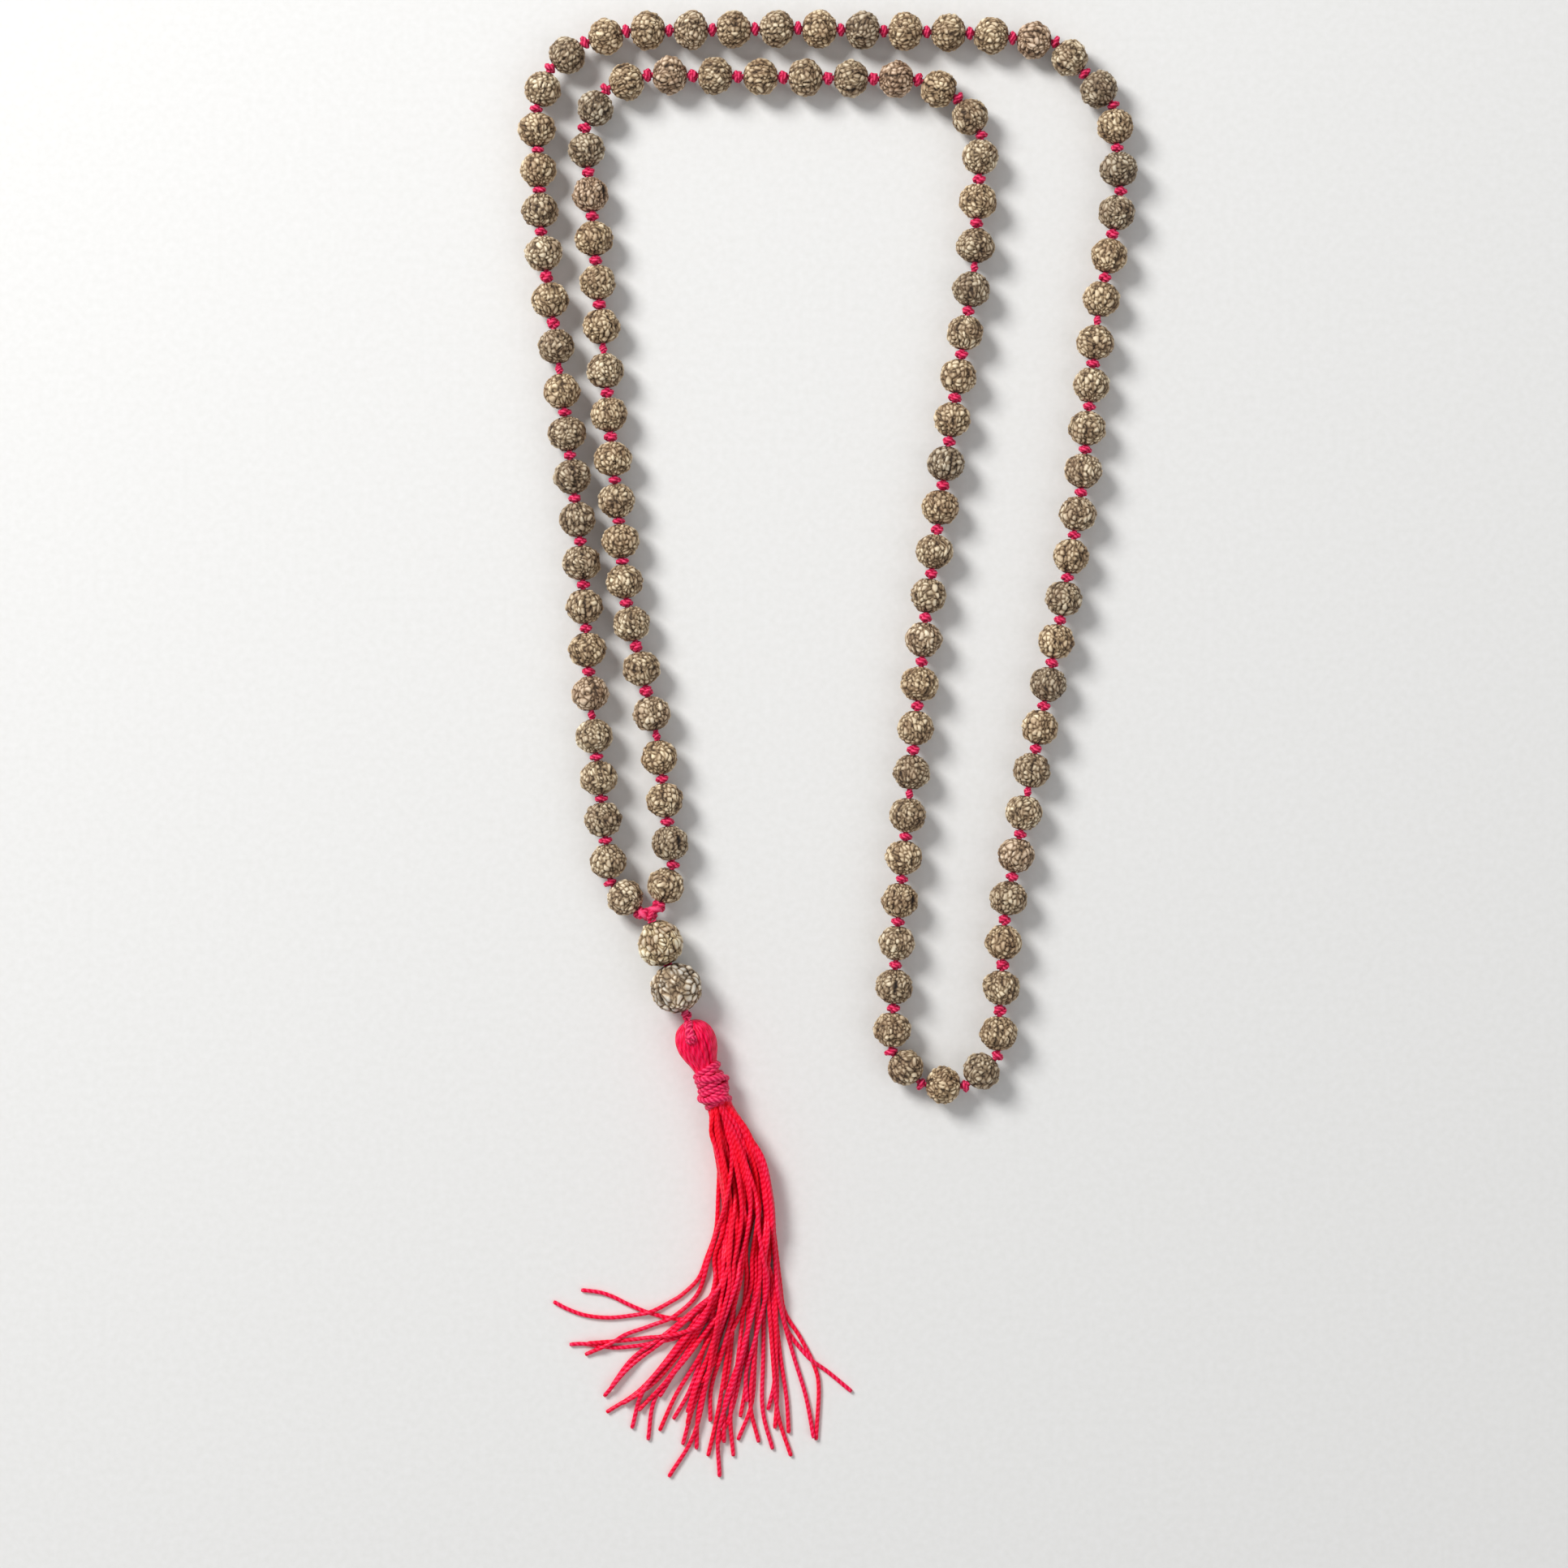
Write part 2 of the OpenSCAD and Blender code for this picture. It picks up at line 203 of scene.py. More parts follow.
def addPiece(name, parts, material, body, node):
    # A piece of four-sided faces that rides on a body and stands for a CAD node.
    points, faces, relief, tint = joined(parts)
    mesh = bpy.data.meshes.new(name)
    mesh.vertices.add(len(points))
    mesh.vertices.foreach_set("co", points.astype(np.float32).ravel())
    mesh.loops.add(faces.size)
    mesh.loops.foreach_set("vertex_index", faces.astype(np.int32).ravel())
    mesh.polygons.add(len(faces))
    mesh.polygons.foreach_set("loop_start", np.arange(0, faces.size, 4, dtype=np.int32))
    mesh.update(calc_edges=True)
    for label, values in (("relief", relief), ("tint", tint)):
        mesh.attributes.new(label, "FLOAT", "POINT").data.foreach_set("value", values.astype(np.float32))
    mesh.polygons.foreach_set("use_smooth", np.ones(len(faces), bool))
    mesh.materials.append(material)
    piece = bpy.data.objects.new(name, mesh)
    bpy.context.scene.collection.objects.link(piece)
    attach(piece, body)
    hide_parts(node)
    return piece


# Materials.
def linear(hexColour):
    # sRGB hex to the linear colour that shaders take.
    parts = [int(hexColour[i : i + 2], 16) / 255 for i in (1, 3, 5)]
    return tuple(p / 12.92 if p <= 0.04045 else ((p + 0.055) / 1.055) ** 2.4 for p in parts) + (1.0,)


def addNode(tree, kind, inputs=None, stops=None, **settings):
    # Adds a node with its settings, its inputs (numbers or links) and a ramp's stops.
    node = tree.nodes.new(kind)
    for key, value in settings.items():
        setattr(node, key, value)
    for key, value in (inputs or {}).items():
        if isinstance(value, bpy.types.NodeSocket):
            tree.links.new(value, node.inputs[key])
        else:
            node.inputs[key].default_value = value
    if stops:
        ramp = node.color_ramp
        for i, (place, colour) in enumerate(stops):
            stop = ramp.elements[i] if i < 2 else ramp.elements.new(place)
            stop.position = place
            stop.color = linear(colour)
    return node


def newMaterial(name, finish):
    # A material with fixed values on its shader's own inputs.
    material = bpy.data.materials.new(name)
    material.use_nodes = True
    tree = material.node_tree
    shader = tree.nodes["Principled BSDF"]
    for key, value in finish.items():
        shader.inputs[key].default_value = value
    return material, tree, shader


multiplied = {"data_type": "RGBA", "blend_type": "MULTIPLY"}  # a mix node's colours are its inputs 6 and 7


# Rudraksha: the dried stone of a fruit, scrubbed and lightly oiled. Its worn ridges are paler and its crevices
# darker, partly in its own colour and partly as painted shade and painted highlights, so it reads as speckled tan,
# not one brown.
def seedMaterial(name, look):
    material, tree, shader = newMaterial(name, {"Roughness": look["roughness"], "IOR": 1.5})
    relief = addNode(tree, "ShaderNodeAttribute", attribute_name="relief").outputs["Fac"]
    tint = addNode(tree, "ShaderNodeAttribute", attribute_name="tint").outputs["Fac"]
    place = addNode(tree, "ShaderNodeTexCoord").outputs["Object"]
    pores = {"Vector": place, "Scale": 1 / (0.35 * mm), "Detail": 3.0, "Roughness": 0.6}  # 0.35 mm apart
    grain = addNode(tree, "ShaderNodeTexNoise", pores)
    stains = {"Vector": place, "Scale": 1 / (3.2 * mm), "Detail": 2.0}  # about 3 mm wide
    patch = addNode(tree, "ShaderNodeTexNoise", stains)
    # The relief carries painted shade in the crevices, grooves and bore mouth and a painted highlight on the ridge
    # tops; the pores break it up.
    lifted = {0: grain.outputs["Fac"], 1: look["grain"], 2: relief}
    poresOverShade = addNode(tree, "ShaderNodeMath", lifted, operation="MULTIPLY_ADD")
    height = addNode(tree, "ShaderNodeMath", {0: poresOverShade.outputs[0], 1: look["grain"] / 2}, operation="SUBTRACT")
    ridges = addNode(tree, "ShaderNodeValToRGB", {"Fac": height.outputs[0]}, stops=look["stops"])
    seedTone = addNode(tree, "ShaderNodeValToRGB", {"Fac": tint}, stops=look["tones"])
    tones = {"Factor": 1.0, 6: ridges.outputs["Color"], 7: seedTone.outputs["Color"]}
    toned = addNode(tree, "ShaderNodeMix", tones, **multiplied)
    patchTone = addNode(tree, "ShaderNodeValToRGB", {"Fac": patch.outputs["Fac"]}, stops=look["patch"])
    tones = {"Factor": 0.75, 6: toned.outputs[2], 7: patchTone.outputs["Color"]}
    coloured = addNode(tree, "ShaderNodeMix", tones, **multiplied)
    tree.links.new(coloured.outputs[2], shader.inputs["Base Color"])
    wear = {"Value": relief, "From Min": 0.2, "From Max": 1.0, "To Min": 0.9, "To Max": look["roughness"]}
    rough = addNode(tree, "ShaderNodeMapRange", wear)  # handled ridges are smoother than crevices
    tree.links.new(rough.outputs["Result"], shader.inputs["Roughness"])
    pits = {"Height": grain.outputs["Fac"], "Strength": 0.5, "Distance": 0.12 * mm}
    bump = addNode(tree, "ShaderNodeBump", pits)
    tree.links.new(bump.outputs["Normal"], shader.inputs["Normal"])
    return material


# Dyed cotton, twisted: many fine fibres, so it's soft-edged, with a faint pale fuzz where light grazes it. Its
# colour has painted shade in the lines between the plies and a painted highlight along their crests.
# The dye tints the gloss as well, so the red stays deep.
def threadMaterial(name, look):
    finish = {
        "Roughness": look["roughness"],
        "IOR": 1.47,
        "Sheen Weight": look["sheen"],
        "Sheen Tint": linear(look["fuzz"]),
        "Specular Tint": linear(look["gloss"]),
    }
    material, tree, shader = newMaterial(name, finish)
    relief = addNode(tree, "ShaderNodeAttribute", attribute_name="relief").outputs["Fac"]
    tint = addNode(tree, "ShaderNodeAttribute", attribute_name="tint").outputs["Fac"]
    place = addNode(tree, "ShaderNodeTexCoord").outputs["Object"]
    # Real fibres are 0.02 mm, drawn as 0.3 mm tufts so that they show.
    fibre = addNode(tree, "ShaderNodeTexNoise", {"Vector": place, "Scale": 1 / (0.3 * mm), "Detail": 2.0})
    # The dye took unevenly, over about 9 mm.
    fade = addNode(tree, "ShaderNodeTexNoise", {"Vector": place, "Scale": 1 / (9 * mm), "Detail": 1.0})
    # Painted shade and highlight: the ply relief darkens the grooves between the plies and lightens their crests,
    # broken up by the fibre tufts.
    lifted = {0: fibre.outputs["Fac"], 1: 0.5, 2: relief}
    lift = addNode(tree, "ShaderNodeMath", lifted, operation="MULTIPLY_ADD")
    level = addNode(tree, "ShaderNodeMath", {0: lift.outputs[0], 1: 0.25}, operation="SUBTRACT")
    plies = addNode(tree, "ShaderNodeValToRGB", {"Fac": level.outputs[0]}, stops=look["stops"])
    dye = addNode(tree, "ShaderNodeMath", {0: tint, 1: fade.outputs["Fac"]}, operation="ADD")
    half = addNode(tree, "ShaderNodeMath", {0: dye.outputs[0], 1: 0.5}, operation="MULTIPLY")
    dyeTone = addNode(tree, "ShaderNodeValToRGB", {"Fac": half.outputs[0]}, stops=look["tones"])
    tones = {"Factor": 1.0, 6: plies.outputs["Color"], 7: dyeTone.outputs["Color"]}
    coloured = addNode(tree, "ShaderNodeMix", tones, **multiplied)
    tree.links.new(coloured.outputs[2], shader.inputs["Base Color"])
    nap = {"Height": fibre.outputs["Fac"], "Strength": look["nap"], "Distance": 0.1 * mm}
    bump = addNode(tree, "ShaderNodeBump", nap)
    tree.links.new(bump.outputs["Normal"], shader.inputs["Normal"])
    return material


# In the seed looks the stops run from near-black painted shade in the crevices to a near-white painted highlight
# on the ridge tops, over the seeds' own darker crevices and paler ridges.
seedLook = {
    "roughness": 0.5,
    "grain": 0.22,  # how far the pores break up the tone
    "stops": [(0.1, "#100a06"), (0.42, "#564534"), (0.67, "#ae9a7f"), (0.93, "#fff6e2")],  # crevice to ridge
    "tones": [(0.0, "#dcd7cf"), (0.25, "#ebe4d8"), (0.5, "#fff3df"), (0.75, "#fffaee"), (1.0, "#f6dfd6")],
    "patch": [(0.36, "#b7a496"), (0.62, "#ffffff")],  # stains
}
upperGuruLook = {
    "roughness": 0.46,
    "grain": 0.16,
    "stops": [(0.12, "#140d07"), (0.41, "#604f3c"), (0.64, "#c6b392"), (0.88, "#fffdee")],
    "tones": [(0.0, "#fff8e9"), (1.0, "#fff8e9")],
    "patch": [(0.4, "#b89f93"), (0.6, "#ffffff")],
}
lowerGuruLook = {
    "roughness": 0.42,
    "grain": 0.16,
    "stops": [(0.13, "#140c06"), (0.43, "#5f4b37"), (0.66, "#b8a388"), (0.9, "#fffaf0")],
    "tones": [(0.0, "#fff7ea"), (1.0, "#fff7ea")],
    "patch": [(0.42, "#ffffff"), (0.56, "#b9bfca")],
}
# In the thread looks the stops run from painted shade in the ply grooves to a painted pink highlight on the ply
# crests.
cordLook = {
    "roughness": 0.6,
    "sheen": 0.25,
    "fuzz": "#ff7f9d",  # of the light caught by loose fibres, then of the gloss
    "gloss": "#ff9db4",
    "nap": 0.6,
    "stops": [(0.05, "#99083a"), (0.45, "#e01a50"), (0.95, "#ff5f8c")],
    "tones": [(0.2, "#f2dce2"), (0.8, "#ffffff")],
}
headLook = {
    "roughness": 0.38,
    "sheen": 0.15,
    "fuzz": "#ff5f86",
    "gloss": "#ff94ae",
    "nap": 0.25,
    "stops": [(0.0, "#d2003c"), (0.5, "#ff0044"), (1.0, "#ff2c66")],
    "tones": [(0.2, "#c893ab"), (0.5, "#ffffff"), (0.9, "#ffe6da")],
}
bindingLook = {
    "roughness": 0.55,
    "sheen": 0.2,
    "fuzz": "#ff86a2",
    "gloss": "#ff9ab0",
    "nap": 0.5,
    "stops": [(0.05, "#b00440"), (0.5, "#ee1453"), (0.95, "#ff5a86")],
    "tones": [(0.2, "#f6e3e8"), (0.8, "#ffffff")],
}
skirtLook = {
    "roughness": 0.3,  # mercerised, so it's the glossiest of the threads
    "sheen": 0.1,
    "fuzz": "#ff5f80",
    "gloss": "#ff9cb2",
    "nap": 0.35,
    "stops": [(0.0, "#d80038"), (0.45, "#ff0844"), (1.0, "#ff5584")],
    "tones": [(0.1, "#f8f4ff"), (0.45, "#ffc0cc"), (0.8, "#ff6c74")],
}
seedStone = seedMaterial("rudrakshaSeedStone", seedLook)
upperGuruStone = seedMaterial("paleGuruSeedStone", upperGuruLook)
lowerGuruStone = seedMaterial("goldenGuruSeedStone", lowerGuruLook)
cottonCord = threadMaterial("twistedCottonCord", cordLook)
headThread = threadMaterial("combedHeadThread", headLook)
bindingThread = threadMaterial("twistedBindingThread", bindingLook)
skirtThread = threadMaterial("twistedSkirtThread", skirtLook)
print("materials made")


# Seeds. A small set of shapes is carved once, and each bead takes one of them, turned and sized.
carving = {  # what all the seeds share; lengths in mm
    "boreRings": 4,
    "wander": 0.9,  # how far the pattern of lumps is pushed about, and how quickly that changes
    "wanderScale": 0.35,
    "flatness": 1.35,  # of the lumps' tops
    "bend": 0.16,  # the ridges' long bends, and the short ones on them
    "bendScale": 0.3,
    "waver": 0.05,
    "waverScale": 0.9,
    "grooveWidth": 0.28,
    "grooveShift": 0.25,  # how unevenly the grooves are spread
    "swellScale": 0.55,
    "betweenRidges": 0.55,  # how much of the carving is left there
    "nearBore": 0.35,
    "boreFade": 0.35,
    "mouth": 0.38,  # width of the bore's worn mouth, as a share of the radius
    "mouthDip": 0.02,
    "mouthShade": 0.6,
    "shade": 1.05,
}
beadSettings = {
    "diameter": 8.3,
    "length": 7.5,
    "bore": 1.4,
    "firstSeed": 100,
    "shapes": 10,
    "around": 112,
    "outerRings": 58,
    "lump": 0.92,  # width of a ridge's lumps
    "stretch": 0.6,  # lumps are this much closer together round the seed than from pole to pole
    "carve": 0.72,  # depth of the crevices
    "ridges": 15,
    "ridgeDepth": 0.08,
    "grooves": 5,  # a five-faced seed
    "grooveDepth": 0.12,
    "swell": 0.3,
    "proud": 0.14,
    "taper": 0.03,  # how much narrower one end is
    "toneSpread": 0.22,
}
upperGuruSettings = {
    "diameter": 10.4,
    "length": 9.8,
    "bore": 2.1,
    "seed": 5,
    "roll": 0.9,
    "end": -1,  # its narrow end is at the top
    "around": 176,
    "outerRings": 92,
    "lump": 1.15,
    "stretch": 0.6,
    "carve": 0.85,
    "ridges": 14,
    "ridgeDepth": 0.12,
    "grooves": 5,
    "grooveDepth": 0.15,
    "swell": 0.35,
    "proud": 0.2,
    "taper": 0.07,
}
lowerGuruSettings = {
    "diameter": 11.2,
    "length": 10.6,
    "bore": 2.1,
    "seed": 9,
    "roll": 2.1,
    "end": 1,
    "around": 176,
    "outerRings": 92,
    "lump": 1.3,
    "stretch": 0.75,
    "carve": 0.75,
    "ridges": 11,
    "ridgeDepth": 0.15,
    "grooves": 5,
    "grooveDepth": 0.3,
    "swell": 0.35,
    "proud": 0.15,
    "taper": 0.0,
}


def smooth(low, high, x):
    t = np.clip((x - low) / (high - low), 0, 1)
    return t * t * (3 - 2 * t)


wanderApart = [Vector((0, 0, 0)), Vector((31.7, 0, 0)), Vector((0, 47.3, 0))]  # one noise for each direction


def carvedSeed(settings, seed):
    # A closed, bored seed along Z in mm: rings from pole to pole outside, then back through the bore.
    source = random.Random(seed)
    shift = Vector((source.uniform(0, 90), source.uniform(0, 90), source.uniform(0, 90)))
    around, outer, inner = settings["around"], settings["outerRings"], carving["boreRings"]
    big, tall, hole = settings["diameter"] / 2, settings["length"] / 2, settings["bore"] / 2
    first = math.asin(hole / big)
    angles = np.linspace(first, math.pi - first, outer)
    turns = 2 * math.pi * np.arange(around) / around
    spread = carving["grooveShift"]
    edges = [source.uniform(-spread, spread) for _ in range(settings["grooves"])]
    rings = np.zeros((outer + inner, around, 3))
    relief = np.zeros((outer + inner, around))
    for i, polar in enumerate(angles):
        fade = smooth(0, carving["boreFade"], min(polar, math.pi - polar) - first)
        for j, turn in enumerate(turns):
            ring = big * math.sin(polar) * (1 - settings["taper"] * (1 + math.cos(polar)))
            place = Vector((ring * math.cos(turn), ring * math.sin(turn), big * math.cos(polar)))
            wander = [noise.noise(place * carving["wanderScale"] + shift + apart) for apart in wanderApart]
            cell = (place + Vector(wander) * carving["wander"]) / settings["lump"]
            cell.z *= settings["stretch"]
            near = noise.voronoi(cell + shift)[0]
            inward = min(1.0, (near[1] - near[0]) * carving["flatness"])
            lump = math.sqrt(1 - (1 - inward) ** 2)  # domed, with a sharp crevice round it
            bent = turn + carving["bend"] * noise.noise(place * carving["bendScale"] + shift * 2)
            bent += carving["waver"] * noise.noise(place * carving["waverScale"] + shift)
            ridgeWave = 0.5 + 0.5 * math.cos(settings["ridges"] * bent)
            groove = 0.0
            for k, edge in enumerate(edges):
                off = (bent - 2 * math.pi * (k + edge) / len(edges) + math.pi) % (2 * math.pi) - math.pi
                groove = max(groove, math.exp(-((off * ring / carving["grooveWidth"]) ** 2)))
            swell = noise.noise(place * carving["swellScale"] + shift * 3)
            flank = carving["betweenRidges"] + (1 - carving["betweenRidges"]) * ridgeWave
            sink = settings["carve"] * (1 - lump) * flank
            sink += settings["ridgeDepth"] * (1 - ridgeWave) + settings["grooveDepth"] * groove
            out = settings["proud"] + settings["swell"] * swell
            out -= sink * (carving["nearBore"] + (1 - carving["nearBore"]) * fade)
            mouth = max(0.0, 1 - (ring - hole) / (carving["mouth"] * big))
            radius = max(ring + out * math.sin(polar) * fade, hole)
            rise = tall / big * math.cos(polar) * (big / math.cos(first) + out * fade)
            rise -= math.copysign(carving["mouthDip"] * big * mouth**2, rise)
            rings[i, j] = (radius * math.cos(turn), radius * math.sin(turn), rise)
            # Painted shade: the relief given to the colour falls where the surface sinks into crevices, the
            # ridges' flanks and the grooves, and again at the bore's mouth.
            depth = sink / (settings["carve"] + settings["ridgeDepth"])
            light = max(0.0, min(1.0, 1 - carving["shade"] * depth))
            relief[i, j] = light * (1 - carving["mouthShade"] * mouth**2)
    low, high = rings[outer - 1, :, 2].mean(), rings[0, :, 2].mean()
    for i in range(inner):
        height = low + (high - low) * (i + 1) / (inner + 1)
        level = np.full(around, height)
        rings[outer + i] = np.stack([hole * np.cos(turns), hole * np.sin(turns), level], axis=1)
    count = outer + inner
    rows, cols = np.arange(count)[:, None], np.arange(around)[None, :]
    following = (cols + 1) % around
    below = (rows + 1) % count
    corners = [(rows, cols), (below, cols), (below, following), (rows, following)]
    faces = np.stack([row * around + col for row, col in corners], axis=-1)
    return rings.reshape(-1, 3), faces.reshape(-1, 4), relief.reshape(-1)


def turnedTo(way, roll):
    # Takes a shape made along Z to lie along a level direction, rolled about its own axis.
    way = np.asarray(way, float)
    side = np.array([-way[1], way[0], 0])
    first = math.cos(roll) * side + math.sin(roll) * up
    second = np.cross(way, first)
    return np.stack([first, second, way], axis=0)


def beadsOn(node, joint):
    # The beads of one run in order, as middle, direction, diameter and length, from the frame's own mesh.
    way, origin = np.array(joint["axis"]), np.array(joint["pos_m"])
    mesh = bmesh.new()
    mesh.from_mesh(frame["nodes"][node].data)
    bmesh.ops.remove_doubles(mesh, verts=mesh.verts, dist=2e-6)
    left, found = set(mesh.verts), []
    while left:
        reach, part = [left.pop()], []
        while reach:
            point = reach.pop()
            part.append(point.co[:])
            for edge in point.link_edges:
                neighbour = edge.other_vert(point)
                if neighbour in left:
                    left.remove(neighbour)
                    reach.append(neighbour)
        part = np.array(part) - origin
        run = part @ way
        wide = np.linalg.norm(part - run[:, None] * way, axis=1)
        middle = origin + way * (run.min() + run.max()) / 2
        found.append((run.mean(), middle, way, 2 * wide.max(), run.max() - run.min()))
    mesh.free()
    return [bead[1:] for bead in sorted(found, key=lambda bead: bead[0])]


seedShapes = [carvedSeed(beadSettings, beadSettings["firstSeed"] + i) for i in range(beadSettings["shapes"])]
print("seed shapes carved")

bodyOf = {node: body for body, nodes in record["behaviour"]["bodies"].items() for node in nodes}
strands = {}  # each strand's beads in order, from the crown down
picker = random.Random(27)
for cordNode in sorted(node for node in frame["nodes"] if node.startswith("cord_")):
    strand = cordNode[len("cord_") :]
    strands[strand] = []
    number = 1
    while "beads_%s_%d" % (strand, number) in frame["nodes"]:
        node = "beads_%s_%d" % (strand, number)
        run = beadsOn(node, joints["spin_%s_%d" % (strand, number)])
        parts = []
        for middle, way, diameter, length in run:
            points, faces, relief = picker.choice(seedShapes)
            wider, longer = diameter / beadSettings["diameter"], length / beadSettings["length"]
            size = np.array([wider, wider, longer])
            turned = (points * size) @ turnedTo(way * picker.choice((1, -1)), picker.uniform(0, 2 * math.pi))
            tone = min(1.0, max(0.0, picker.gauss(0.5, beadSettings["toneSpread"])))
            parts.append((turned + middle, faces, relief, tone))
        addPiece("seeds_%s_%d" % (strand, number), parts, seedStone, bodyOf[node], node)
        strands[strand] += run
        number += 1
print("seed beads strung:", sum(len(run) for run in strands.values()))


# Cord and knots. The cord passes through every bore, with a knot filling each gap.
cordSettings = {
    "tube": {"diameter": 1.3 * mm, "sides": 12, "plies": 3, "lay": 3.4 * mm, "depth": 0.24},
    "step": 0.45 * mm,
    "tint": 0.45,
    "knotWide": 3.2 * mm,
    "knotStrand": 1.15 * mm,
    "knotPlay": 0.06 * mm,  # left free between a knot and its beads
    "bendPlay": 0.3 * mm,  # and a little more where the cord bends
    "foldKnot": 1.9 * mm,
    "foldKnotLong": 0.92,
    "foldStrand": 0.75,
}
knotSettings = {
    "points": 54,
    "bulge": 0.34,
    "slack": 0.05,
    "flattest": 0.12 * mm,
    "tube": {"sides": 10, "plies": 3, "lay": 2.2 * mm, "depth": 0.22},
}


def knotAt(middle, way, wide, long, strand, seed, tint=0.5):
    # An overhand knot pulled tight: three crossing passes of cord wound round the line.
    source = random.Random(seed)
    t = np.linspace(0, 2 * math.pi, knotSettings["points"], endpoint=False)
    waist = (wide - strand) / 2
    bulge = waist * knotSettings["bulge"]
    spread = max((long - strand) / 2, knotSettings["flattest"])
    reach = waist - bulge + bulge * np.cos(3 * t)
    path = np.stack([reach * np.cos(2 * t), reach * np.sin(2 * t), spread * np.sin(3 * t)], axis=1)
    path *= 1 + knotSettings["slack"] * np.sin(t + source.uniform(0, 6))[:, None]
    path = path @ turnedTo(way, source.uniform(0, 2 * math.pi)) + middle
    tube = twistedTube(path, strand, phase=source.uniform(0, 2), closed=True, **knotSettings["tube"])
    return tube + (tint,)


def meetingPoint(before, after):
    # Where the lines of two neighbouring beads meet, the cord's way there, the room for a knot and the bend.
    start = before[0] + before[1] * before[3] / 2
    end = after[0] - after[1] * after[3] / 2
    room = np.linalg.norm(end - start)
    bend = math.acos(max(-1.0, min(1.0, float(np.dot(before[1], after[1])))))
    way = before[1] + after[1]
    return start + before[1] * room / 2 / math.cos(bend / 2), way / np.linalg.norm(way), room, bend


strandEnds = {}  # where each strand ends and its way there
for strand, run in strands.items():
    gaps = [meetingPoint(a, b) for a, b in zip(run, run[1:])]
    first = run[0][0] - run[0][1] * (run[0][3] + gaps[0][2]) / 2
    last = run[-1][0] + run[-1][1] * (run[-1][3] + gaps[-1][2]) / 2
    strandEnds[strand] = (last, run[-1][1])
    line = np.array([first] + [gap[0] for gap in gaps] + [last])
    cord = twistedTube(evenly(line, cordSettings["step"]), **cordSettings["tube"])
    parts = [cord + (cordSettings["tint"],)]
    for i, (middle, way, room, bend) in enumerate(gaps):
        wide = cordSettings["knotWide"] * picker.uniform(0.94, 1.04)
        long = room - 2 * cordSettings["knotPlay"] - cordSettings["bendPlay"] * math.sin(bend)
        tint = picker.uniform(0.25, 0.8)
        parts.append(knotAt(middle, way, wide, long, cordSettings["knotStrand"], 7 * i + len(run), tint))
    folds = [first, last] if strand.startswith("crown") else [last] if strand.endswith("mid") else []
    for k, middle in enumerate(folds):
        way = run[0][1] if middle is first else run[-1][1]
        wide, long = cordSettings["foldKnot"], cordSettings["foldKnot"] * cordSettings["foldKnotLong"]
        thin = cordSettings["knotStrand"] * cordSettings["foldStrand"]
        parts.append(knotAt(middle, way, wide, long, thin, 900 + k))
    node = "cord_" + strand
    addPiece("knotted_" + node, parts, cottonCord, bodyOf[node], node)
print("cord knotted")


# The junction: the two ends of the loop, each tied off, run together into one knot over the guru seeds.
junctionSettings = {
    "lobe": 3.4 * mm,
    "lobeLong": 0.75,
    "knot": 3.7 * mm,
    "knotLong": 0.85,
    "strand": 1.3 * mm,
    "leg": {"diameter": 2.6 * mm, "sides": 12, "plies": 2, "lay": 3.4 * mm, "depth": 0.3},
    "arch": 0.5 * mm,
    "step": 0.3 * mm,
    "tint": 0.6,
}
guruCordSettings = {
    "tube": {"diameter": 2.0 * mm, "sides": 12, "plies": 2, "lay": 4 * mm, "depth": 0.3},
    "start": 1.5 * mm,
    "step": 0.4 * mm,
    "stopKnot": {"wide": 2.5 * mm, "long": 1.9 * mm, "strand": 0.95 * mm, "seed": 77},
}


def addJunction(settings):
    parts = []
    lobe, knot, tint = settings["lobe"], settings["knot"], settings["tint"]
    for i, strand in enumerate(("left_outer_low", "left_inner_low")):
        end, way = strandEnds[strand]
        parts.append(knotAt(end, way, lobe, lobe * settings["lobeLong"], cordSettings["knotStrand"], 40 + i))
        arch = end * 0.6 + throat * 0.4 + up * settings["arch"]
        path = resampled([end, arch, throat], settings["step"])
        parts.append(twistedTube(path, phase=i, **settings["leg"]) + (tint,))
    parts.append(knotAt(throat, hang, knot, knot * settings["knotLong"], settings["strand"], 51, tint))
    node = "junction_knot"
    addPiece("junction_knot_cord", parts, cottonCord, bodyOf[node], node)


def addGuru(node, settings, stone):
    points, faces, relief = carvedSeed(settings, settings["seed"])
    turned = (points * mm) @ turnedTo(hang * settings["end"], settings["roll"]) + midOf(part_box(node))
    addPiece("carved_" + node, [(turned, faces, relief, 0.5)], stone, bodyOf[node], node)


def addGuruCord(settings):
    height = midOf(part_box("guru_bead_upper"))[2]
    start = np.array([throat[0], throat[1], height]) + hang * settings["start"]
    end = np.array([pivot[0], pivot[1], height])
    cord = twistedTube(evenly(np.array([start, end]), settings["step"]), **settings["tube"])
    parts = [cord, knotAt(end, hang, **settings["stopKnot"])]
    addPiece("doubled_guru_cord", parts, cottonCord, bodyOf["guru_cord"], "guru_cord")


addJunction(junctionSettings)
addGuru("guru_bead_upper", upperGuruSettings, upperGuruStone)
addGuru("guru_bead_lower", lowerGuruSettings, lowerGuruStone)
addGuruCord(guruCordSettings)
print("gurus hung")


